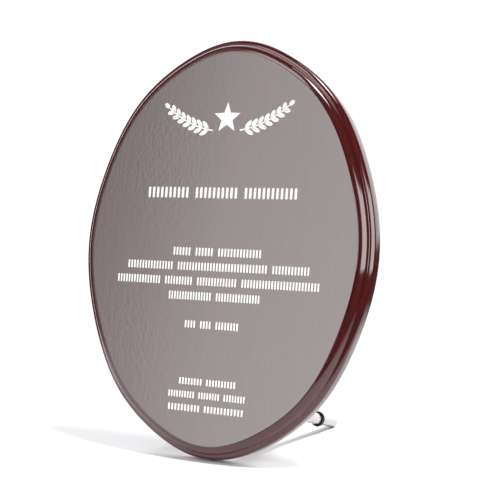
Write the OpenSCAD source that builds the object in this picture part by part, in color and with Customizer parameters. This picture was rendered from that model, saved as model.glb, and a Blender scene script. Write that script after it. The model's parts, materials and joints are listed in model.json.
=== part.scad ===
// Oval award plaque: a gloss mahogany board with a two-step beaded edge and a gently
// waved outline. It leans back on the bump at its foot and on two screw-in metal legs.
//
// The board is drawn lying flat: x across, y up along the board, the face at z = 0 and
// the back at z = -board_t. in_place() then stands it up and leans it back. In the row
// frame the face looks towards -Y, +Z is up, and the origin is on the table under the
// middle of the whole plaque.

/* [Board] */
// Overall width of the board
board_w = 200; // [150:1:260]
// Overall height of the board
board_h = 250; // [200:1:320]
// Thickness of the board with its face and back sheets
board_t = 13; // [12:0.5:18]
// Thickness of the face sheet and of the back sheet
sheet_t = 0.6; // [0.4:0.1:1]
// Size of the four-fold wave in the outline, as a share of the radius
wave_4 = 0.0055; // [0:0.0005:0.01]
// Size of the eight-fold wave in the outline, as a share of the radius
wave_8 = 0.0054; // [0:0.0005:0.01]
// How far the board leans back from upright, in degrees
lean = 11; // [8:0.5:16]

/* [Moulded edge] */
// Width of the moulding, from the face's edge to the side wall
moulding_w = 7.6; // [7:0.1:10]
// Depth of the small step between the face and the inner bead
step_d = 1.1; // [0.9:0.1:1.4]
// Depth of the groove between the two beads
groove_d = 4.2; // [3:0.1:4.5]
// Depth at which the outer bead runs into the side wall
wall_d = 6.4; // [5.5:0.1:8]
// Slope at which each bead starts, in degrees from the plane of the face
bead_start = 14; // [0:1:25]
// Slope at which each bead ends, in degrees from the plane of the face
bead_end = 80; // [65:1:88]

/* [Legs] */
// Distance of each leg from the middle
leg_x = 27; // [20:1:40]
// Length of the polished rod
rod_len = 100; // [80:1:110]
// How far the legs are drilled downwards from square to the board, in degrees
leg_tilt = 6; // [0:0.5:8]
// Diameter of the polished rod
rod_d = 7; // [5.5:0.5:8]
// Distance from the rod's free end to its rubber ring
ring_from_end = 22; // [10:1:40]
// Thickness of the rubber ring
ring_t = 1.5; // [1.5:0.1:3]
// Nominal diameter of the leg's thread
thread_d = 4; // [3:1:4]
// Length of the threaded stud
stud_len = 15; // [14:1:18]

/* [Print] */
// Thickness of the printed layer
print_t = 0.1; // [0.05:0.05:0.3]
// Height of the emblem's middle above the middle of the face
emblem_y = 77; // [70:1:80]
// Radius of the emblem's star, to its points
star_r = 9.5; // [6:0.5:10]

/* [Hidden] */

outline_n = 120;     // points around the board
bead_n = 6;          // steps across each bead
bead_w = 4;          // width of the inner bead
first_bead_x = 0.4;  // the inner bead starts this far outside the face's edge
bead_gap = 0.2;      // the outer bead starts this far outside and below the inner one
ease = 0.5;          // easing of the board's back edge
face_ease = 0.3;     // easing of the face sheet's front edge
chamfer = 0.6;       // chamfer on the ends of rods, studs and inserts
thread_play = 0.05;  // air between a stud and its insert, all round
insert_wall = 1.5;   // wall of an insert round its bore
flange_w = 3;        // width of an insert's flange round its bore
small_ease = 0.3;    // easing of the rod's shoulder
ring_squeeze = 0.05; // how far a ring's rubber is pressed flat against its rod

wave_max = 1 + wave_4 + wave_8;
face_rx = (board_w / 2 - moulding_w) / wave_max;
face_ry = (board_h / 2 - moulding_w) / wave_max;
core_back = board_t - sheet_t;

rod_r = rod_d / 2;
stud_r = thread_d / 2 - thread_play;
bore_r = thread_d / 2;
insert_r = bore_r + insert_wall;
insert_len = 8;
flange_r = bore_r + flange_w;
flange_t = 1;
pocket_gap = 0.5;    // air between the insert's inner end and the end of its pocket
stud_in = 7;         // length of stud inside the insert

// A leg's axis meets the back of the board at [leg_x, leg_y], and dips this far below level.
dip = lean + leg_tilt;
// The insert's flange lies this deep, so that its whole rim is below the back of the board.
seat = flange_r * tan(leg_tilt);
rod_end = rod_len - seat;
// The lowest point of the board is where its side wall meets the eased back edge.
lift = board_h / 2 * cos(lean) + (core_back - ease) * sin(lean);
// The rod's lowest point is at the start of its end chamfer, and rests on the table too.
leg_y = ((rod_end - chamfer) * sin(dip) + rod_r * cos(dip) + board_t * sin(lean) - lift) / cos(lean);
front_y = -(board_h / 2 - moulding_w - face_ease) * sin(lean);
rear_y = leg_y * sin(lean) + board_t * cos(lean)
    + rod_end * cos(dip) + (rod_r - chamfer) * sin(dip);
middle_y = (front_y + rear_y) / 2;

// Rows of the inscription: [height above the middle of the face, letter height,
// row width, letters in each word]
ROWS = [
    [29, 7, 105, [5, 5, 6]],
    [-5.5, 5.2, 62, [3, 3, 7]],
    [-14.3, 5.2, 127, [8, 15, 6]],
    [-23.1, 5.2, 141, [8, 5, 7, 13]],
    [-31.9, 5.2, 64, [8, 8]],
    [-48.5, 4.8, 38, [2, 2, 4]],
    [-82, 4.2, 40, [4, 5]],
    [-89.8, 4.2, 54, [5, 4, 4]],
    [-97.6, 4.2, 53, [5, 6]]
];
word_gap = 0.55;     // gap between words, as a share of the letter height
bar_h = 0.7;         // height of a bar, as a share of the letter height

// ---- outline and edge profile ----

function wave(a) = 1 + wave_4 * cos(4 * a) + wave_8 * cos(8 * a);
function face_point(a) = [face_rx * wave(a) * cos(a), face_ry * wave(a) * sin(a)];
// Outward direction at angle a, square to the outline
function outward(a) =
    let (along = face_point(a + 0.5) - face_point(a - 0.5))
    [along.y, -along.x] / norm(along);
function outline(out) = [
    for (i = [0 : outline_n - 1])
        let (a = 360 * i / outline_n)
        face_point(a) + out * outward(a)
];

// Edge profile, as [distance outside the face's edge, depth behind the face].
// Each bead is a convex curve between two points: a quadratic curve drawn towards the
// corner where its first and last slopes meet.
function bead(x0, d0, x1, d1) =
    let (
        w = x1 - x0,
        h = d1 - d0,
        reach = (w * sin(bead_end) - h * cos(bead_end)) / sin(bead_end - bead_start),
        corner = [x0 + reach * cos(bead_start), d0 + reach * sin(bead_start)]
    )
    [for (i = [0 : bead_n])
        let (t = i / bead_n)
        pow(1 - t, 2) * [x0, d0] + 2 * t * (1 - t) * corner + t * t * [x1, d1]];
groove_x = first_bead_x + bead_w;
PROFILE = concat(
    [[0, sheet_t]],
    bead(first_bead_x, step_d, groove_x, groove_d),
    bead(groove_x + bead_gap, groove_d + bead_gap, moulding_w, wall_d),
    [[moulding_w, core_back - ease], [moulding_w - ease, core_back]]
);

// A closed solid made from rings of equal length: rings[0] is the front, the last is the back.
module skinned(rings) {
    n = len(rings[0]);
    last = len(rings) - 1;
    polyhedron(
        points = [for (ring = rings, p = ring) p],
        faces = concat(
            [[for (i = [0 : n - 1]) n - 1 - i]],
            [for (k = [0 : last - 1], i = [0 : n - 1])
                let (j = (i + 1) % n)
                [k * n + i, k * n + j, (k + 1) * n + j]],
            [for (k = [0 : last - 1], i = [0 : n - 1])
                let (j = (i + 1) % n)
                [k * n + i, (k + 1) * n + j, (k + 1) * n + i]],
            [[for (i = [0 : n - 1]) last * n + i]]
        )
    );
}
function ring(out, depth) = [for (p = outline(out)) [p.x, p.y, -depth]];

// Stands the flat board up, leans it back and sets it on the table.
module in_place() {
    translate([0, -middle_y, lift])
        rotate([90 - lean, 0, 0])
            children();
}
// Puts a leg piece on its axis: z = 0 is the outer face of the insert's flange, and +z
// runs along the leg to its free end.
module on_leg(side) {
    translate([side * leg_x, leg_y, -board_t])
        rotate([180 - leg_tilt, 0, 0])
            translate([0, 0, -seat])
                children();
}

// ---- board ----

module core_board() {
    color([0.30, 0.06, 0.06])
        in_place()
            difference() {
                skinned([for (q = PROFILE) ring(q.x, q.y)]);
                for (side = [-1, 1])
                    on_leg(side)
                        insert_pocket();
            }
}
// The pocket for an insert: a plain hole, and a wider seat for the flange, cut square to
// the leg and open through the back of the board.
module insert_pocket() {
    translate([0, 0, -insert_len - pocket_gap])
        cylinder(h = insert_len, r = insert_r, $fn = 48);
    flange_seat();
}
module flange_seat() {
    translate([0, 0, -flange_t])
        cylinder(h = flange_t + 2 * seat + sheet_t, r = flange_r, $fn = 48);
}
module face_sheet() {
    color([0.56, 0.52, 0.51])
        in_place()
            skinned([ring(-face_ease, 0), ring(0, face_ease), ring(0, sheet_t)]);
}
module back_sheet() {
    color([0.24, 0.10, 0.08])
        in_place()
            difference() {
                translate([0, 0, -board_t])
                    linear_extrude(sheet_t)
                        polygon(outline(moulding_w - ease));
                for (side = [-1, 1])
                    on_leg(side)
                        flange_seat();
            }
}

// ---- legs ----

// Flanged brass insert, glued into the core board.
module insert(side) {
    color([0.80, 0.62, 0.30])
        in_place()
            on_leg(side)
                rotate_extrude($fn = 48)
                    polygon([
                        [bore_r, -insert_len], [insert_r - 0.4, -insert_len],
                        [insert_r, -insert_len + 0.4], [insert_r, -flange_t],
                        [flange_r, -flange_t], [flange_r, 0], [bore_r, 0]
                    ]);
}
// Threaded stud, held in the rod and screwed into the insert.
module stud(side) {
    color([0.70, 0.70, 0.72])
        in_place()
            on_leg(side)
                rotate_extrude($fn = 48)
                    polygon([
                        [0, -stud_in], [stud_r - chamfer, -stud_in],
                        [stud_r, -stud_in + chamfer], [stud_r, stud_len - stud_in],
                        [0, stud_len - stud_in]
                    ]);
}
// Polished rod with a blind hole for the stud.
module leg_rod(side) {
    color([0.90, 0.90, 0.89])
        in_place()
            on_leg(side)
                rotate_extrude($fn = 64)
                    polygon([
                        [stud_r, 0], [rod_r - small_ease, 0], [rod_r, small_ease],
                        [rod_r, rod_len - chamfer], [rod_r - chamfer, rod_len],
                        [0, rod_len], [0, stud_len - stud_in], [stud_r, stud_len - stud_in]
                    ]);
}
// Rubber ring, squeezed flat where it grips the rod.
module grip_ring(side) {
    color([0.10, 0.10, 0.10])
        in_place()
            on_leg(side)
                translate([0, 0, rod_len - ring_from_end])
                    difference() {
                        rotate_extrude($fn = 64)
                            translate([rod_r + ring_t / 2 - ring_squeeze, 0])
                                circle(d = ring_t, $fn = 32);
                        cylinder(h = 2 * ring_t, r = rod_r, center = true, $fn = 64);
                    }
}

// ---- print on the face ----

// Five-pointed star
module star(r) {
    inner = 0.42 * r;
    polygon([for (i = [0 : 9]) on_circle((i % 2 == 0) ? r : inner, 90 + 36 * i)]);
}
// A leaf with two pointed ends, from the origin along +x
module leaf(length, width) {
    bow = (pow(length / 2, 2) - pow(width / 2, 2)) / width;
    r = bow + width / 2;
    translate([length / 2, 0])
        intersection() {
            translate([0, bow])
                circle(r = r, $fn = 96);
            translate([0, -bow])
                circle(r = r, $fn = 96);
        }
}
leaf_pairs = 7;
leaf_len = 7.4;      // the leaves nearest the star; each pair further out is shorter
leaf_less = 0.35;
leaf_w = 2.6;
leaf_turn = 38;      // angle between a leaf and the stem
sprig_r = 66;        // radius of the sprig's curved stem
sprig_low = 8;       // the stem's lowest point is this far below the star's middle
sprig_start = 11;    // the first leaves are this many degrees round the stem's curve
sprig_step = 4;      // degrees from one pair of leaves to the next
stem_w = 0.8;
stem_tail = 0.7;     // how far the stem runs past the leaves, in steps
function sprig_angle(i) = -90 + sprig_start + sprig_step * i;
function on_circle(r, a) = [r * cos(a), r * sin(a)];
// One laurel sprig, curving up and to the right, away from the star
module sprig() {
    translate([0, sprig_r - sprig_low]) {
        for (i = [0 : leaf_pairs - 1], turn = [-leaf_turn, leaf_turn])
            translate(on_circle(sprig_r, sprig_angle(i)))
                rotate(sprig_angle(i) + 90 + turn)
                    leaf(leaf_len - leaf_less * i, leaf_w);
        translate(on_circle(sprig_r, sprig_angle(leaf_pairs)))
            rotate(sprig_angle(leaf_pairs) + 90)
                leaf(leaf_len - leaf_less * leaf_pairs, leaf_w);
        difference() {
            intersection() {
                circle(r = sprig_r + stem_w / 2, $fn = 180);
                polygon([
                    [0, 0],
                    on_circle(2 * sprig_r, sprig_angle(-stem_tail)),
                    on_circle(2 * sprig_r, sprig_angle(leaf_pairs + stem_tail))
                ]);
            }
            circle(r = sprig_r - stem_w / 2, $fn = 180);
        }
    }
}
// Laurel and star emblem
module emblem_print() {
    color("white")
        in_place()
            linear_extrude(print_t)
                translate([0, emblem_y]) {
                    star(star_r);
                    sprig();
                    mirror([1, 0])
                        sprig();
                }
}

// One bar with round ends, standing for a word, from the origin along +x
module word_bar(width, height) {
    r = height / 2;
    translate([r, 0])
        square([width - height, height]);
    for (x = [r, width - r])
        translate([x, r])
            circle(r = r, $fn = 24);
}
function sum(v, n) = (n == 0) ? 0 : v[n - 1] + sum(v, n - 1);
// Rows of plain bars in place of a dedication
module inscription_print() {
    color("white")
        in_place()
            linear_extrude(print_t)
                for (row = ROWS)
                    bar_row(row[0], row[1], row[2], row[3]);
}
module bar_row(y, letter_h, width, words) {
    n = len(words);
    gap = word_gap * letter_h;
    letter_w = (width - gap * (n - 1)) / sum(words, n);
    for (i = [0 : n - 1])
        translate([-width / 2 + letter_w * sum(words, i) + gap * i, y])
            word_bar(letter_w * words[i], bar_h * letter_h);
}

core_board();
face_sheet();
back_sheet();
insert(-1);  // insert_left
insert(1);  // insert_right
stud(-1);  // stud_left
stud(1);  // stud_right
leg_rod(-1);  // leg_rod_left
leg_rod(1);  // leg_rod_right
grip_ring(-1);  // grip_ring_left
grip_ring(1);  // grip_ring_right
emblem_print();
inscription_print();
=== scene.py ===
"""Looks of an oval award plaque: gloss mahogany board, printed face, polished legs with rubber rings.

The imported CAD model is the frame. Every size below is in metres unless its name says otherwise.
"""

import json
import math

import bmesh
import bpy
from mathutils import Matrix, Vector


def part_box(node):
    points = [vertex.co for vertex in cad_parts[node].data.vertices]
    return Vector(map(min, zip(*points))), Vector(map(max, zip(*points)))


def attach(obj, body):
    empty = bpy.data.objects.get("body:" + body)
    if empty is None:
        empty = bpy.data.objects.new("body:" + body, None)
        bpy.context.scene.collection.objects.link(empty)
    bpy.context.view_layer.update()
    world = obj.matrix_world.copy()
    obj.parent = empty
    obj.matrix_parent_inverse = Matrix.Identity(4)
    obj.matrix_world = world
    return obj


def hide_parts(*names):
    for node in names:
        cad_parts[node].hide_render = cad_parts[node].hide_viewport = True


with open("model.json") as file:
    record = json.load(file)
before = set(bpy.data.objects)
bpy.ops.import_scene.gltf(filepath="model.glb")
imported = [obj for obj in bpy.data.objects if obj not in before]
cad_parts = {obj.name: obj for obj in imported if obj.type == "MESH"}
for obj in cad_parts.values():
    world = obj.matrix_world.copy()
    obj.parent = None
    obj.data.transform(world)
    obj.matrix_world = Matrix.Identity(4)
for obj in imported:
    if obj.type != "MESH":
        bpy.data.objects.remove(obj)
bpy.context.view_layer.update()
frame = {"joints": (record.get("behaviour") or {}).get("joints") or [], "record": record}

# ---------------------------------------------------------------- sizes

MM = 0.001
MICRON = 1e-6
TURN = 2 * math.pi
SAME_PLACE = 1e-7

BOARD_H = 250 * MM
BOARD_T = 13 * MM
SHEET_T = 0.6 * MM
MOULDING_W = 7.6 * MM
STEP_X = 0.05 * MM
STEP_D = 1.1 * MM
GROOVE_D = 4.2 * MM
WALL_D = 6.4 * MM
BEAD_START = math.radians(14)
BEAD_END = math.radians(80)
FIRST_BEAD_X = 0.4 * MM
BEAD_W = 4 * MM
SECOND_BEAD_GAP = 0.2 * MM
BACK_EASE = 0.5 * MM
BACK_ROUND = 0.56 * MM
FACE_EASE = 0.34 * MM
WAVE_4 = 0.0055
WAVE_8 = 0.0054
OUTLINE_POINTS = 480
BEAD_STEPS = 24
TURNED_STEPS = 96
SHARP_DEG = 35

ROD_R = 3.5 * MM
ROD_LEN = 100 * MM
ROD_SHOULDER = 0.3 * MM
ROD_EASE = 0.6 * MM
# The rendered rod ends this far inside the CAD rod, so that its round end stays in the CAD box.
ROD_SHORT_BY = 0.1 * MM
RING_FROM_END = 22 * MM
RING_T = 1.5 * MM
RING_SQUEEZE = 0.05 * MM
STUD_LEN = 15 * MM
STUD_IN = 7 * MM
STUD_R = 1.95 * MM
STUD_TIP_EASE = 0.6 * MM
THREAD_PITCH = 0.7 * MM
THREAD_DEPTH = 0.4 * MM
BORE_R = 2 * MM
INSERT_R = 3.5 * MM
INSERT_LEN = 8 * MM
FLANGE_R = 5 * MM
FLANGE_T = 1 * MM
POCKET_GAP = 0.5 * MM

PRINT_T = 0.1 * MM
EMBLEM_Y = 77 * MM
STAR_R = 9.5 * MM
STAR_WAIST = 0.42

board_low, board_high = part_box("core_board")
board_w = board_high.x - board_low.x
back_mount = next(m for m in frame["record"]["mounts"] if m["name"] == "back_face")
backwards = Vector(back_mount["axis"]).normalized()
rightwards = Vector((1, 0, 0))
upwards = backwards.cross(rightwards) * -1
face_middle = Vector(back_mount["pos_m"]) - backwards * BOARD_T
lean = math.atan2(upwards.y, upwards.z)

wave_max = 1 + WAVE_4 + WAVE_8
face_rx = (board_w / 2 - MOULDING_W) / wave_max
face_ry = (BOARD_H / 2 - MOULDING_W) / wave_max

leg_axis = Vector(frame["joints"][0]["axis"]).normalized()
leg_up = leg_axis.cross(rightwards) * -1


def on_board(x, up, depth):
    """A point given across the board, up it, and behind its face."""
    return face_middle + rightwards * x + upwards * up + backwards * depth


def leg_base(side):
    """Where a leg's axis meets the outer face of its insert's flange."""
    low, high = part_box("leg_rod_" + side)
    level, dip = leg_axis.y, -leg_axis.z
    y = low.y + (ROD_R - ROD_SHOULDER) * dip
    z = high.z - ROD_R * level + ROD_SHOULDER * dip
    return Vector(((low.x + high.x) / 2, y, z))


# ---------------------------------------------------------------- mesh helpers


def from_bmesh(name, bm, sharp_deg=SHARP_DEG):
    """Links bm as an object, smooth except across edges sharper than sharp_deg."""
    bmesh.ops.recalc_face_normals(bm, faces=bm.faces)
    mesh = bpy.data.meshes.new(name)
    bm.to_mesh(mesh)
    bm.free()
    for polygon in mesh.polygons:
        polygon.use_smooth = True
    mesh.set_sharp_from_angle(angle=math.radians(sharp_deg))
    thing = bpy.data.objects.new(name, mesh)
    bpy.context.scene.collection.objects.link(thing)
    return thing


def skin(bm, rings, caps=True):
    """Adds a tube through rings of equal length to bm, with or without flat caps at its ends."""
    loops = [[bm.verts.new(p) for p in ring] for ring in rings]
    n = len(loops[0])
    for a, b in zip(loops, loops[1:]):
        for i in range(n):
            j = (i + 1) % n
            bm.faces.new((a[i], a[j], b[j], b[i]))
    if caps:
        bm.faces.new(list(reversed(loops[0])))
        bm.faces.new(loops[-1])
    return loops


def from_leg_axis(base, along, radius, a):
    """A point at angle a round a leg's axis, and along it from base."""
    out = rightwards * math.cos(a) + leg_up * math.sin(a)
    return base + leg_axis * along + out * radius


def turned_rings(profile, base, steps):
    """Rings round a leg's axis, one for each (radius, distance along the leg) of the profile."""
    angles = [TURN * i / steps for i in range(steps)]
    return [[from_leg_axis(base, z, r, a) for a in angles] for r, z in profile]


def lathe(bm, profile, base):
    """Turns a profile about a leg's axis, as a solid with flat ends."""
    skin(bm, turned_rings(profile, base, TURNED_STEPS))


def lathe_open(bm, profile, base, steps=TURNED_STEPS):
    """Turns a closed profile about a leg's axis: a ring-shaped solid with no end caps."""
    rings = turned_rings(profile + profile[:1], base, steps)
    loops = skin(bm, rings, caps=False)
    bmesh.ops.remove_doubles(bm, verts=loops[0] + loops[-1], dist=SAME_PLACE)


def arc(cx, cy, radius, start_deg, end_deg, steps):
    """Points of an arc, both ends included."""
    points = []
    for i in range(steps + 1):
        a = math.radians(start_deg + (end_deg - start_deg) * i / steps)
        points.append((cx + radius * math.cos(a), cy + radius * math.sin(a)))
    return points


# ---------------------------------------------------------------- the board's outline and edge


def face_point(a):
    """The face's edge at angle a, across the board and up it."""
    m = 1 + WAVE_4 * math.cos(4 * a) + WAVE_8 * math.cos(8 * a)
    return Vector((face_rx * m * math.cos(a), face_ry * m * math.sin(a)))


def outline():
    """Points on the face's edge with the direction square to it."""
    points = []
    nudge = math.radians(0.5)
    for i in range(OUTLINE_POINTS):
        a = TURN * i / OUTLINE_POINTS
        along = (face_point(a + nudge) - face_point(a - nudge)).normalized()
        points.append((face_point(a), Vector((along.y, -along.x))))
    return points


EDGE = outline()


def edge_ring(out, depth):
    """A ring round the board, this far outside the face's edge and behind the face."""
    return [on_board(*(p + d * out), depth) for p, d in EDGE]


def bead(start, end):
    """A convex curve whose slope grows from BEAD_START to BEAD_END, measured from the face."""
    start, end = Vector(start), Vector(end)
    w, h = end - start
    reach = (w * math.sin(BEAD_END) - h * math.cos(BEAD_END)) / math.sin(BEAD_END - BEAD_START)
    corner = start + reach * Vector((math.cos(BEAD_START), math.sin(BEAD_START)))
    points = []
    for i in range(BEAD_STEPS + 1):
        t = i / BEAD_STEPS
        points.append(tuple(start * (1 - t) ** 2 + corner * 2 * t * (1 - t) + end * t**2))
    return points


def edge_solid(name, profile):
    """A closed plate whose edge follows a profile of (distance out, depth) pairs."""
    bm = bmesh.new()
    skin(bm, [edge_ring(out, depth) for out, depth in profile])
    return from_bmesh(name, bm)


def cut_pockets(thing):
    """Cuts the inserts' pockets, each with a wider seat for the flange, into the back."""
    clear_of_back = 3 * MM
    profile = [(INSERT_R, -INSERT_LEN - POCKET_GAP), (INSERT_R, -FLANGE_T)]
    profile += [(FLANGE_R, -FLANGE_T), (FLANGE_R, clear_of_back)]
    bm = bmesh.new()
    for side in ("left", "right"):
        lathe(bm, profile, leg_base(side))
    cutter = from_bmesh("pocket_cutter", bm)
    cut = thing.modifiers.new("pockets", "BOOLEAN")
    cut.operation = "DIFFERENCE"
    cut.solver = "EXACT"
    cut.object = cutter
    bpy.context.view_layer.objects.active = thing
    bpy.ops.object.modifier_apply(modifier="pockets")
    bpy.data.objects.remove(cutter)
    thing.data.set_sharp_from_angle(angle=math.radians(SHARP_DEG))


def make_board():
    """The core board: a step round the face, two convex beads, the side wall and a rounded back."""
    core_back = BOARD_T - SHEET_T
    flat_inset = 2 * MM
    groove_x = FIRST_BEAD_X + BEAD_W
    second_x = groove_x + SECOND_BEAD_GAP
    second_d = GROOVE_D + SECOND_BEAD_GAP
    # The foot of the step is rounded, in two slopes.
    wall_above, slope_above, slope_out = 0.25 * MM, 0.08 * MM, 0.07 * MM
    profile = [(-flat_inset, SHEET_T), (STEP_X, SHEET_T), (STEP_X, STEP_D - wall_above)]
    profile += [(STEP_X + slope_out, STEP_D - slope_above)]
    profile += bead((FIRST_BEAD_X, STEP_D), (groove_x, GROOVE_D))
    profile += bead((second_x, second_d), (MOULDING_W, WALL_D))
    profile += arc(MOULDING_W - BACK_ROUND, core_back - BACK_ROUND, BACK_ROUND, 0, 90, 6)
    board = edge_solid("board_body", profile)
    cut_pockets(board)
    return board


def make_face():
    """The face sheet, with its front edge rounded."""
    flat_inset = 1.5 * MM
    ease = arc(-FACE_EASE, FACE_EASE, FACE_EASE, -90, 0, 6)
    return edge_solid("face_panel", [(-flat_inset, 0)] + ease + [(0, SHEET_T)])


def make_back():
    """The back sheet, with its back edge rounded and the pockets cut through it."""
    flat_inset = 1.5 * MM
    out = MOULDING_W - BACK_EASE
    start = BOARD_T - SHEET_T
    ease = 0.2 * MM
    rounded = arc(out - ease, BOARD_T - ease, ease, 0, 90, 4)
    profile = [(out, start)] + rounded + [(out - flat_inset, BOARD_T)]
    back = edge_solid("back_panel", profile)
    cut_pockets(back)
    return back


# ---------------------------------------------------------------- legs


def make_insert(side):
    """Flanged brass insert with a countersunk bore, open right through."""
    ease, chamfer, sink = 0.2 * MM, 0.4 * MM, 0.5 * MM
    profile = [(BORE_R, -INSERT_LEN), (INSERT_R - chamfer, -INSERT_LEN)]
    profile += [(INSERT_R, -INSERT_LEN + chamfer), (INSERT_R, -FLANGE_T), (FLANGE_R, -FLANGE_T)]
    profile += arc(FLANGE_R - ease, -ease, ease, 0, 90, 4)
    profile += [(BORE_R + sink, 0), (BORE_R, -sink)]
    bm = bmesh.new()
    lathe_open(bm, profile, leg_base(side), 72)
    return from_bmesh("threaded_insert_" + side, bm)


def make_stud(side):
    """Stud with a real helical thread and a tapered inner end."""
    base = leg_base(side)
    steps = 40
    rows_per_turn = 8
    flank = 2.6
    rows = int(STUD_LEN / THREAD_PITCH * rows_per_turn)
    rings = []
    for k in range(rows + 1):
        along = STUD_LEN * k / rows
        limit = STUD_R - STUD_TIP_EASE + min(along, STUD_TIP_EASE)
        ring = []
        for i in range(steps):
            phase = (along / THREAD_PITCH - i / steps) % 1
            groove = THREAD_DEPTH * (1 - min(1, flank * abs(phase - 0.5)))
            radius = min(limit, STUD_R - groove)
            ring.append(from_leg_axis(base, along - STUD_IN, radius, TURN * i / steps))
        rings.append(ring)
    bm = bmesh.new()
    skin(bm, rings)
    return from_bmesh("threaded_stud_" + side, bm, 25)


def make_rod(side):
    """Turned rod with an eased shoulder, a rounded free end and a shallow centre mark."""
    shoulder, ease = ROD_SHOULDER, ROD_EASE
    mark_r, mark_d = 0.5 * MM, 0.35 * MM
    sections = 8
    hole_r = STUD_R + 0.1 * MM
    end = ROD_LEN - ROD_SHORT_BY
    profile = [(hole_r, 0), (ROD_R - shoulder, 0)]
    profile += arc(ROD_R - shoulder, shoulder, shoulder, -60, 0, 4)
    profile += [(ROD_R, end * k / sections) for k in range(1, sections)]
    profile += arc(ROD_R - ease, end - ease, ease, 0, 90, 8)
    profile += [(mark_r, end), (0.1 * mark_r, end - mark_d)]
    bm = bmesh.new()
    lathe(bm, profile, leg_base(side))
    return from_bmesh("polished_rod_" + side, bm, 30)


def make_ring(side):
    """Rubber ring, squeezed flat against the rod, with a fine parting line round it."""
    base = leg_base(side) + leg_axis * (ROD_LEN - RING_FROM_END)
    r = RING_T / 2
    middle = ROD_R + r - RING_SQUEEZE
    flash = 0.04 * MM
    steps = 40
    profile = []
    for i in range(steps):
        a = TURN * i / steps
        bump = flash if i == 0 else 0
        radius = max(ROD_R, middle + (r + bump - flash) * math.cos(a))
        profile.append((radius, r * math.sin(a)))
    bm = bmesh.new()
    lathe_open(bm, profile, base)
    return from_bmesh("rubber_ring_" + side, bm, 50)


# ---------------------------------------------------------------- print on the face


def add_plate(bm, points):
    """A thin printed patch with this outline, given across and up the face."""
    top = [bm.verts.new(on_board(x, y, -PRINT_T)) for x, y in points]
    foot = [bm.verts.new(on_board(x, y, 0)) for x, y in points]
    n = len(points)
    bm.faces.new(top)
    bm.faces.new(list(reversed(foot)))
    for i in range(n):
        j = (i + 1) % n
        bm.faces.new((top[i], foot[i], foot[j], top[j]))


def turned(points, angle, origin):
    """Points turned by an angle about zero, then moved to origin."""
    c, s = math.cos(angle), math.sin(angle)
    return [(origin[0] + c * x - s * y, origin[1] + s * x + c * y) for x, y in points]


LEAF_PAIRS = 7
LEAF_LEN = 7.4 * MM
LEAF_LESS = 0.35 * MM
LEAF_W = 2.6 * MM
LEAF_TURN = math.radians(38)
LEAF_VEIN = 0.16 * MM
SPRIG_R = 66 * MM
SPRIG_LOW = 8 * MM
SPRIG_START_DEG = 11
SPRIG_STEP_DEG = 4
STEM_W = 0.8 * MM
# How far the stem runs past the leaves, in steps from one pair of leaves to the next.
STEM_TAIL = 0.7


def leaf_halves(length, width):
    """The two halves of a pointed leaf along +x, with its midrib left bare between them."""
    steps = 12
    bow = (length**2 - width**2) / (4 * width)
    radius = bow + width / 2
    upper = []
    for i in range(steps + 1):
        x = length * i / steps
        y = math.sqrt(max(0, radius**2 - (x - length / 2) ** 2)) - bow
        upper.append((x, max(y, 0)))
    vein = LEAF_VEIN / 2
    kept = [(x, y) for x, y in upper if y > vein]
    half = [(kept[0][0], vein)] + kept + [(kept[-1][0], vein)]
    return half, [(x, -y) for x, y in reversed(half)]


def sprig_angle(i):
    """Angle of the i-th pair of leaves round the stem's curve."""
    return math.radians(-90 + SPRIG_START_DEG + SPRIG_STEP_DEG * i)


def sprig_point(radius, a):
    """A point of the sprig, across and up the face."""
    return (radius * math.cos(a), radius * math.sin(a) + SPRIG_R - SPRIG_LOW + EMBLEM_Y)


def add_sprig(bm, side):
    """One laurel sprig; side is 1 for the right and -1 for its mirror image."""
    patches = []
    for i in range(LEAF_PAIRS + 1):
        turns = (-LEAF_TURN, LEAF_TURN) if i < LEAF_PAIRS else (0,)
        for turn in turns:
            for half in leaf_halves(LEAF_LEN - LEAF_LESS * i, LEAF_W):
                a = sprig_angle(i)
                patches.append(turned(half, a + math.pi / 2 + turn, sprig_point(SPRIG_R, a)))
    steps = 48
    first, last = sprig_angle(-STEM_TAIL), sprig_angle(LEAF_PAIRS)
    angles = [first + (last - first) * k / steps for k in range(steps + 1)]
    inner = [sprig_point(SPRIG_R - STEM_W / 2, a) for a in angles]
    outer = [sprig_point(SPRIG_R + STEM_W / 2, a) for a in reversed(angles)]
    patches.append(inner + outer)
    for patch in patches:
        add_plate(bm, [(side * x, y) for x, y in patch])


def make_emblem():
    """A star between two laurel sprigs."""
    bm = bmesh.new()
    star = []
    for i in range(10):
        radius = STAR_R if i % 2 == 0 else STAR_WAIST * STAR_R
        a = math.pi / 2 + TURN * i / 10
        star.append((radius * math.cos(a), EMBLEM_Y + radius * math.sin(a)))
    add_plate(bm, star)
    for side in (-1, 1):
        add_sprig(bm, side)
    return from_bmesh("emblem", bm)


# Rows of the inscription, in millimetres: height above the middle of the face, letter height,
# row width, and letters in each word.
ROWS = [
    (29, 7, 105, (5, 5, 6)),
    (-5.5, 5.2, 62, (3, 3, 7)),
    (-14.3, 5.2, 127, (8, 15, 6)),
    (-23.1, 5.2, 141, (8, 5, 7, 13)),
    (-31.9, 5.2, 64, (8, 8)),
    (-48.5, 4.8, 38, (2, 2, 4)),
    (-82, 4.2, 40, (4, 5)),
    (-89.8, 4.2, 54, (5, 4, 4)),
    (-97.6, 4.2, 53, (5, 6)),
]
# The gap between words and the height of a stroke are shares of the letter height. The width
# of a stroke is a share of the distance from one to the next.
WORD_GAP = 0.55
STROKE_H = 0.95
STROKE_SHARE = 0.52
STROKES_PER_LETTER = 2


def pill(x, y, width, height):
    """An upright bar with round ends."""
    r = width / 2
    low = arc(x + r, y + r, r, 180, 360, 10)
    high = arc(x + r, y + height - r, r, 0, 180, 10)
    return low + high


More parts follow.
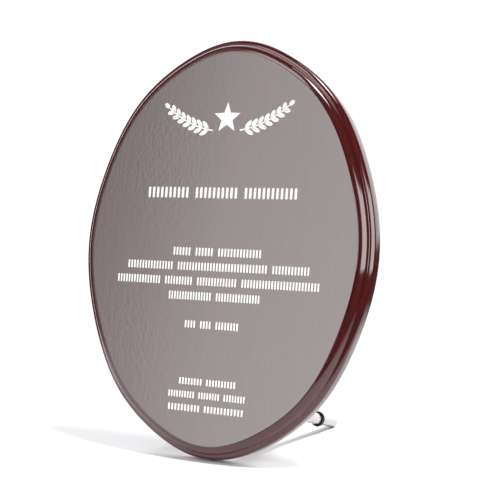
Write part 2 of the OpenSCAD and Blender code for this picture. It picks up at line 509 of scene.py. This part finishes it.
def make_inscription():
    """Rows of plain, even strokes, spaced like words, in place of a dedication."""
    bm = bmesh.new()
    for up, letter_h, width, words in ROWS:
        gap = WORD_GAP * letter_h
        pitch = (width - gap * (len(words) - 1)) / sum(words) / STROKES_PER_LETTER
        x = -width / 2
        for letters in words:
            for _ in range(letters * STROKES_PER_LETTER):
                stroke = pill(x, up, STROKE_SHARE * pitch, STROKE_H * letter_h)
                add_plate(bm, [(a * MM, b * MM) for a, b in stroke])
                x += pitch
            x += gap
    return from_bmesh("inscription", bm)


# ---------------------------------------------------------------- materials


class Nodes:
    """Short ways to build a material's nodes."""

    def __init__(self, name):
        self.material = bpy.data.materials.new(name)
        self.material.use_nodes = True
        self.tree = self.material.node_tree
        self.shader = self.tree.nodes["Principled BSDF"]
        self.place = self.add("ShaderNodeTexCoord").outputs["Object"]

    def add(self, kind, **inputs):
        """A new node, with these inputs fed."""
        node = self.tree.nodes.new(kind)
        for key, value in inputs.items():
            self.feed(node, key, value)
        return node

    def feed(self, node, key, value):
        """Links a socket to an input, or sets the input's own value."""
        socket = node.inputs[key.replace("_", " ")] if isinstance(key, str) else node.inputs[key]
        if isinstance(value, bpy.types.NodeSocket):
            self.tree.links.new(value, socket)
        else:
            socket.default_value = value

    def set(self, **inputs):
        """Feeds the material's shader."""
        for key, value in inputs.items():
            self.feed(self.shader, key, value)

    def noise(self, tilt, scale, detail, roughness, distortion):
        """Noise in object coordinates that are tilted about X, then scaled."""
        turn = self.add("ShaderNodeMapping", Vector=self.place, Rotation=(tilt, 0, 0))
        size = self.add("ShaderNodeMapping", Vector=turn.outputs["Vector"], Scale=scale)
        vector = size.outputs["Vector"]
        node = self.add("ShaderNodeTexNoise", Vector=vector, Scale=1.0, Detail=detail)
        self.feed(node, "Roughness", roughness)
        self.feed(node, "Distortion", distortion)
        return node.outputs["Fac"]

    def board_noise(self, scale, detail=2.0, roughness=0.5, distortion=0.0):
        """Noise square to the board. The scale is in features a metre: across, deep and up."""
        return self.noise(lean, scale, detail, roughness, distortion)

    def leg_noise(self, scale, detail=2.0, roughness=0.5, distortion=0.0):
        """Noise square to the legs, with the scale's last number along them."""
        tip = math.atan2(-leg_axis.z, leg_axis.y)
        return self.noise(math.pi / 2 + tip, scale, detail, roughness, distortion)

    def ramp(self, value, stops):
        """Colours along a value; stops are (position, grey or colour) pairs."""
        node = self.add("ShaderNodeValToRGB", Fac=value)
        elements = node.color_ramp.elements
        while len(elements) < len(stops):
            elements.new(0.5)
        for element, (position, colour) in zip(elements, stops):
            element.position = position
            grey = not isinstance(colour, tuple)
            element.color = (colour, colour, colour, 1) if grey else (*colour, 1)
        return node.outputs["Color"]

    def ramp_line(self, value, start, end):
        """A straight line through two (value, result) points, held level outside them."""
        node = self.add("ShaderNodeMapRange", Value=value)
        for key, (at, result) in (("Min", start), ("Max", end)):
            self.feed(node, "From " + key, at)
            self.feed(node, "To " + key, result)
        return node.outputs["Result"]

    def maths(self, operation, a, b=0.0):
        """Arithmetic on one value or two."""
        node = self.tree.nodes.new("ShaderNodeMath")
        node.operation = operation
        self.feed(node, 0, a)
        self.feed(node, 1, b)
        return node.outputs["Value"]

    def mix(self, amount, a, b):
        """Colour a where amount is 0, and b where it is 1."""
        node = self.tree.nodes.new("ShaderNodeMix")
        node.data_type = "RGBA"
        for key, value in ((0, amount), (6, a), (7, b)):
            self.feed(node, key, value)
        return node.outputs[2]

    def bump(self, height, distance, strength=1.0, normal=None):
        """A relief of this height map, laid over another normal if one is given."""
        node = self.add("ShaderNodeBump", Height=height, Distance=distance, Strength=strength)
        if normal is not None:
            self.feed(node, "Normal", normal)
        return node.outputs["Normal"]


def wood_colour(nodes, dark, mid, light):
    """Mahogany with its grain running up the board: broad bands, fine streaks, dark pores."""
    bands = nodes.board_noise((34, 34, 2.2), 4, 0.55, 0.5)
    streaks = nodes.board_noise((420, 420, 9), 3, 0.6)
    wide = nodes.maths("MULTIPLY", bands, 0.6)
    fine = nodes.maths("MULTIPLY", streaks, 0.4)
    colour = nodes.ramp(nodes.maths("ADD", wide, fine), [(0.36, dark), (0.5, mid), (0.64, light)])
    flecks = nodes.board_noise((1500, 1500, 60), 1)
    between_pores = nodes.ramp(flecks, [(0.34, 0.0), (0.42, 1.0)])
    return nodes.mix(between_pores, (*dark, 1), colour), streaks


def lacquered_wood(name, tones, peel, streak):
    """High-gloss lacquer over stained mahogany: peel and streak are depths in micrometres."""
    nodes = Nodes(name)
    colour, grain = wood_colour(nodes, *tones)
    nodes.set(Base_Color=colour, Roughness=0.4, Specular_IOR_Level=0.1)
    nodes.set(Normal=nodes.bump(grain, 8 * MICRON, 0.5))
    peel_marks = nodes.board_noise((420, 420, 330))
    peel_share = nodes.ramp(nodes.board_noise((16, 16, 12), 1), [(0.35, 0.35), (0.6, 1.0)])
    streaks = nodes.board_noise((330, 330, 22), 2, 0.5, 0.4)
    swell = nodes.board_noise((60, 60, 32), 1, 0.4)
    wet = nodes.bump(nodes.maths("MULTIPLY", peel_marks, peel_share), peel * MICRON)
    wet = nodes.bump(streaks, streak * MICRON, 1.0, wet)
    wet = nodes.bump(swell, 10 * MICRON, 1.0, wet)
    haze = nodes.board_noise((900, 900, 300))
    nodes.set(Coat_Weight=1.0, Coat_IOR=1.6, Coat_Normal=wet)
    nodes.set(Coat_Roughness=nodes.ramp(haze, [(0.3, 0.025), (0.7, 0.038)]))
    return nodes.material


def satin_veneer():
    """Dark open-grained veneer under a thin satin finish."""
    nodes = Nodes("satin_veneer")
    colour, streaks = wood_colour(nodes, *BACK_TONES)
    nodes.set(Base_Color=colour, Normal=nodes.bump(streaks, 0.05 * MM, 0.6))
    nodes.set(Roughness=nodes.ramp(streaks, [(0.3, 0.42), (0.7, 0.55)]))
    return nodes.material


def white_ink():
    """Opaque screen-printed ink, very slightly mottled."""
    nodes = Nodes("white_ink")
    mottle = nodes.board_noise((900, 900, 900), 3)
    nodes.set(Base_Color=nodes.ramp(mottle, [(0.3, (0.86, 0.86, 0.85)), (0.7, (0.93, 0.93, 0.92))]))
    nodes.set(Roughness=nodes.ramp(mottle, [(0.3, 0.34), (0.7, 0.46)]))
    nodes.set(Normal=nodes.bump(mottle, 0.01 * MM, 0.5))
    return nodes.material


def metal(name, colour, worn, roughness, marks):
    """Turned metal: fine rings round the leg's axis, and faint handling marks."""
    nodes = Nodes(name)
    rings = nodes.leg_noise((30, 30, 5200), 2, 0.6)
    cloud = nodes.leg_noise((90, 90, 50))
    nodes.set(Base_Color=nodes.ramp(cloud, [(0.35, worn), (0.65, colour)]), Metallic=1.0)
    low, high = roughness
    nodes.set(Roughness=nodes.ramp(cloud, [(0.3, high), (0.7, low)]))
    nodes.set(Normal=nodes.bump(rings, 0.006 * MM, marks))
    return nodes.material


def rubber():
    """Black rubber with a fine grain and a little dust."""
    nodes = Nodes("soft_rubber")
    grain = nodes.board_noise((2600, 2600, 2600), 3, 0.6)
    dust = nodes.board_noise((500, 500, 500), 3, 0.6)
    nodes.set(Base_Color=nodes.ramp(dust, [(0.4, (0.012, 0.012, 0.012)), (0.75, (0.035, 0.034, 0.032))]))
    nodes.set(Roughness=nodes.ramp(dust, [(0.3, 0.42), (0.7, 0.62)]))
    nodes.set(Normal=nodes.bump(grain, 0.012 * MM, 0.7))
    return nodes.material


def dress(thing, material, body, replaced):
    """Gives a piece its material and the body it rides on, and hides the CAD node it replaces."""
    thing.data.materials.clear()
    thing.data.materials.append(material)
    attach(thing, body)
    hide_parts(replaced)


# ---------------------------------------------------------------- the object

# Dark, middle and light tones of each wood.
EDGE_TONES = ((0.040, 0.0014, 0.0016), (0.051, 0.0020, 0.0022), (0.063, 0.0034, 0.0032))
FACE_TONES = ((0.031, 0.0053, 0.0050), (0.035, 0.0061, 0.0056), (0.040, 0.0075, 0.0066))
BACK_TONES = ((0.030, 0.010, 0.006), (0.062, 0.022, 0.012), (0.105, 0.042, 0.022))

edge_lacquer = lacquered_wood("mahogany_lacquer", EDGE_TONES, 0.5, 0.2)
face_lacquer = lacquered_wood("face_lacquer", FACE_TONES, 50.0, 10.0)
ink = white_ink()
brass = metal("turned_brass", (0.83, 0.60, 0.27), (0.66, 0.44, 0.19), (0.22, 0.36), 0.6)
steel = metal("zinc_steel", (0.62, 0.62, 0.63), (0.48, 0.48, 0.49), (0.28, 0.42), 0.4)
polished = metal("satin_nickel", (0.47, 0.455, 0.445), (0.41, 0.395, 0.385), (0.26, 0.30), 0.1)
black_rubber = rubber()

dress(make_board(), edge_lacquer, "board", "core_board")
dress(make_face(), face_lacquer, "board", "face_sheet")
dress(make_back(), satin_veneer(), "board", "back_sheet")
dress(make_emblem(), ink, "board", "emblem_print")
dress(make_inscription(), ink, "board", "inscription_print")
for side in ("left", "right"):
    leg = side + "_leg"
    dress(make_insert(side), brass, "board", "insert_" + side)
    dress(make_stud(side), steel, leg, "stud_" + side)
    dress(make_rod(side), polished, leg, "leg_rod_" + side)
    dress(make_ring(side), black_rubber, leg, "grip_ring_" + side)

# ---------------------------------------------------------------- studio

FLOOR_R = 0.45
FLOOR_SOLID_R = 0.31
FLOOR_MIDDLE = (-0.1, -0.1)

CAMERA_LENS_MM = 100.16
CAMERA_TARGET = (1.42 * MM, 0, 119.78 * MM)
CAMERA_AZIMUTH, CAMERA_ELEVATION = 31.17, 6.21
CAMERA_DISTANCE = 0.85
CAMERA_ROLL_DEG = -1.49

# Soft distant lights: name, azimuth, elevation, strength, and how soft they are in degrees.
SUNS = (
    ("high_right", 89, 67, 2.8, 12),
    ("front", -30, 14, 0.6, 25),
    ("behind", 170, 35, 1.0, 30),
)
LAMP_PLACE = (0.22, 0.30, 0.45)
LAMP_AIMED_AT = (0.14, 0.14, 0)
LAMP_WATTS = 8
LAMP_CONE_DEG = 50
LAMP_R = 0.12

# The world's brightness: what the camera sees, what lights matt surfaces, and what reflections
# show where there is no softbox.
SEEN_WHITE = 1.05
AMBIENT = 0.66
DARK_STUDIO = 0.06
# Softboxes: azimuths, elevations, soft edge, all in degrees, then strength.
FRONT_BOX = ((-70, -17), (-20, 49), 6, 5.55)
# How the front softbox fades: (angle, share of its strength) at both ends of each stretch.
FRONT_LEFT_FADE = ((-43, 0.10), (-33, 0.87))
FRONT_MIDDLE_FADE = ((-33, 0.0), (-28, 0.13))
FRONT_TOP_FADE = ((7, 1.0), (20, 0.90))
RIGHT_BOX_AZIMUTHS = (18, 70)
RIGHT_BOX_SOFT = 5
RIGHT_BOX_SLOPE = 0.18
RIGHT_BOX_BOTTOM = (11, 14)
RIGHT_BOX_TOP = (30, 34)
RIGHT_BOX_STRENGTH = 6.6
PLAIN_BOXES = (
    ((2, 20), (56, 65), 4, 21.0),
    ((-10, 30), (70, 74), 4, 5.0),
    ((142, 181), (0, 55), 6, 2.1),
    ((-181, -122), (-12, 48), 14, 2.8),
    ((-181, -100), (58, 84), 4, 1.6),
    ((100, 181), (58, 84), 4, 1.6),
)


def add_floor():
    """A round pale floor. Its rim fades out, so the board doesn't mirror it as a hard line."""
    bm = bmesh.new()
    bmesh.ops.create_circle(bm, cap_ends=True, radius=FLOOR_R, segments=128)
    bmesh.ops.translate(bm, verts=bm.verts, vec=(*FLOOR_MIDDLE, 0))
    floor = from_bmesh("floor", bm)
    nodes = Nodes("pale_floor")
    nodes.set(Base_Color=(0.93, 0.932, 0.955, 1), Roughness=0.6, Specular_IOR_Level=0.1)
    away = nodes.add("ShaderNodeVectorMath")
    away.operation = "DISTANCE"
    nodes.feed(away, 0, nodes.place)
    nodes.feed(away, 1, (*FLOOR_MIDDLE, 0))
    solid = nodes.ramp_line(away.outputs["Value"], (FLOOR_SOLID_R, 1.0), (FLOOR_R, 0.0))
    nodes.set(Alpha=solid)
    floor.data.materials.append(nodes.material)


def aim(direction, roll):
    """Rotation that looks back along direction, with a roll about the view."""
    side = Vector((0, 0, 1)).cross(direction).normalized()
    top = direction.cross(side)
    right = side * math.cos(roll) + top * math.sin(roll)
    up = top * math.cos(roll) - side * math.sin(roll)
    return Matrix((right, up, direction)).transposed().to_4x4()


def heading(azimuth_deg, elevation_deg):
    """Unit vector from the plaque; azimuth 0 is its front and 90 its right-hand side."""
    a, e = math.radians(azimuth_deg), math.radians(elevation_deg)
    return Vector((math.sin(a) * math.cos(e), -math.cos(a) * math.cos(e), math.sin(e)))


def add_camera():
    """The photo's own view."""
    data = bpy.data.cameras.new("camera")
    data.sensor_width = 36
    data.lens = CAMERA_LENS_MM
    data.clip_end = 50
    camera = bpy.data.objects.new("camera", data)
    bpy.context.scene.collection.objects.link(camera)
    towards = heading(CAMERA_AZIMUTH, CAMERA_ELEVATION)
    place = Vector(CAMERA_TARGET) + towards * CAMERA_DISTANCE
    turn = aim(towards, math.radians(CAMERA_ROLL_DEG))
    camera.matrix_world = Matrix.Translation(place) @ turn
    bpy.context.scene.camera = camera


def add_light(name, kind, strength, placed):
    """A light that isn't itself seen in reflections, which show only the softboxes."""
    data = bpy.data.lights.new(name, kind)
    data.energy = strength
    light = bpy.data.objects.new(name, data)
    bpy.context.scene.collection.objects.link(light)
    light.matrix_world = placed
    light.visible_glossy = False
    return data


def add_sun(name, azimuth, elevation, strength, softness_deg):
    data = add_light(name, "SUN", strength, aim(heading(azimuth, elevation), 0))
    data.angle = math.radians(softness_deg)


def add_back_lamp():
    """A lamp behind the plaque, at its right, which brightens the floor that the wall mirrors."""
    place = Vector(LAMP_PLACE)
    back = (place - Vector(LAMP_AIMED_AT)).normalized()
    data = add_light("back_lamp", "SPOT", LAMP_WATTS, Matrix.Translation(place) @ aim(back, 0))
    data.spot_size = math.radians(LAMP_CONE_DEG)
    data.spot_blend = 1.0
    data.shadow_soft_size = LAMP_R


class Sky(Nodes):
    """The studio around the plaque, as the world: white to the eye, softboxes in reflections."""

    def __init__(self):
        world = bpy.data.worlds.new("studio")
        bpy.context.scene.world = world
        world.use_nodes = True
        self.tree = world.node_tree
        self.tree.nodes.clear()
        self.place = self.add("ShaderNodeTexCoord").outputs["Generated"]
        split = self.add("ShaderNodeSeparateXYZ", Vector=self.place).outputs
        ahead = self.maths("MULTIPLY", split["Y"], -1.0)
        degrees = 180 / math.pi
        self.azimuth = self.maths("MULTIPLY", self.maths("ARCTAN2", split["X"], ahead), degrees)
        self.elevation = self.maths("MULTIPLY", self.maths("ARCSINE", split["Z"]), degrees)

    def window(self, value, low, high, soft):
        """1 between low and high, falling smoothly to 0 over soft degrees outside them."""
        rise = self.step(value, low - soft, low)
        fall = self.step(value, high, high + soft)
        return self.maths("SUBTRACT", rise, fall)

    def step(self, value, start, end):
        """0 up to start, 1 from end on, and a smooth rise between them."""
        node = self.add("ShaderNodeMapRange", Value=value)
        node.interpolation_type = "SMOOTHSTEP"
        self.feed(node, "From Min", start)
        self.feed(node, "From Max", end)
        return node.outputs["Result"]

    def mixed(self, amount, a, b):
        """Number a where amount is 0, and b where it is 1."""
        node = self.tree.nodes.new("ShaderNodeMix")
        for key, value in ((0, amount), (2, a), (3, b)):
            self.feed(node, key, value)
        return node.outputs[0]

    def softbox(self, azimuths, elevations, soft, strength):
        """A soft-edged patch of light between these azimuths and elevations."""
        across = self.window(self.azimuth, *azimuths, soft)
        up = self.window(self.elevation, *elevations, soft)
        return self.maths("MULTIPLY", self.maths("MULTIPLY", across, up), strength)


def front_softbox(sky):
    """The softbox mirrored in the face. It fades towards its left side and its top."""
    left = sky.ramp_line(sky.azimuth, *FRONT_LEFT_FADE)
    middle = sky.ramp_line(sky.azimuth, *FRONT_MIDDLE_FADE)
    across = sky.maths("ADD", left, middle)
    up = sky.ramp_line(sky.elevation, *FRONT_TOP_FADE)
    fade = sky.maths("MULTIPLY", across, up)
    return sky.maths("MULTIPLY", sky.softbox(*FRONT_BOX), fade)


def right_softbox(sky):
    """The softbox mirrored in both beads. Its lower edge slopes down to the right."""
    across = sky.window(sky.azimuth, *RIGHT_BOX_AZIMUTHS, RIGHT_BOX_SOFT)
    rise = sky.maths("MULTIPLY", sky.azimuth, RIGHT_BOX_SLOPE)
    over_bottom = sky.step(sky.maths("ADD", sky.elevation, rise), *RIGHT_BOX_BOTTOM)
    under_top = sky.maths("SUBTRACT", 1.0, sky.step(sky.elevation, *RIGHT_BOX_TOP))
    up = sky.maths("MULTIPLY", over_bottom, under_top)
    return sky.maths("MULTIPLY", sky.maths("MULTIPLY", across, up), RIGHT_BOX_STRENGTH)


def add_sky():
    """Lights the scene from the world, and shows its softboxes in reflections only."""
    sky = Sky()
    boxes = [front_softbox(sky), right_softbox(sky)]
    boxes += [sky.softbox(*box) for box in PLAIN_BOXES]
    total = DARK_STUDIO
    for box in boxes:
        total = sky.maths("ADD", total, box)
    paths = sky.add("ShaderNodeLightPath").outputs
    lit = sky.mixed(paths["Is Glossy Ray"], AMBIENT, total)
    seen = sky.mixed(paths["Is Camera Ray"], lit, SEEN_WHITE)
    light = sky.add("ShaderNodeBackground", Color=(1, 1, 1, 1), Strength=seen)
    out = sky.tree.nodes.new("ShaderNodeOutputWorld")
    sky.tree.links.new(light.outputs["Background"], out.inputs["Surface"])


add_floor()
add_camera()
add_sky()
for sun in SUNS:
    add_sun(*sun)
add_back_lamp()
bpy.context.scene.view_settings.view_transform = "Standard"
